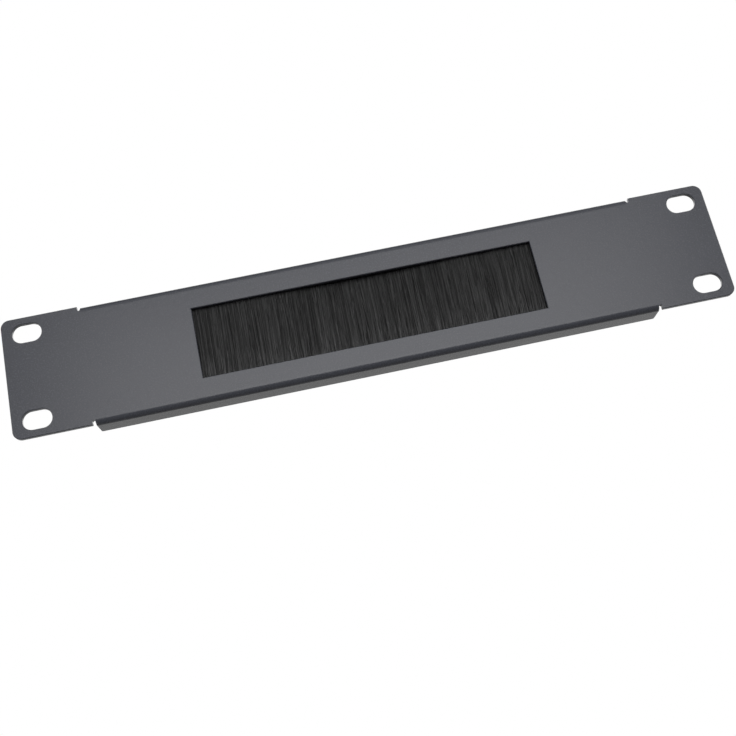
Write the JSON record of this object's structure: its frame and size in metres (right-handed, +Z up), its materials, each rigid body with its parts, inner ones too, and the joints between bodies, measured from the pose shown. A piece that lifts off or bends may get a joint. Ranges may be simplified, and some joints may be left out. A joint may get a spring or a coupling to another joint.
{
  "type": "brush cable entry panel",
  "caption": "Folded sheet steel rack panel with slotted ears and a long window closed by a black brush strip that cables pass through.",
  "frame": {"origin": "centre of the four ear slots, on the rear face of the ears, which seats on the rack's rails", "axes": "+X along the panel's width, +Z up as installed, the front face looks towards -Y and the flanges run back along +Y"},
  "size_m": [0.254, 0.0095, 0.0436],
  "materials": {
    "powder_coat": "fine textured powder coat, satin",
    "channel_steel": "galvanised, dull",
    "wire_steel": "drawn",
    "filament": "black nylon filament, slight sheen",
    "clamp_steel": "zinc plated",
    "fastener_steel": "zinc plated, bright"
  },
  "bodies": {
    "root": {"front_panel": "powder_coat", "brush_channel": "channel_steel", "brush_core_wire": "wire_steel", "brush_filaments": "filament", "clamp_left": "clamp_steel", "clamp_right": "clamp_steel", "weld_studs": "fastener_steel", "clamp_washers": "fastener_steel", "clamp_nuts": "fastener_steel"}
  },
  "joints": []
}
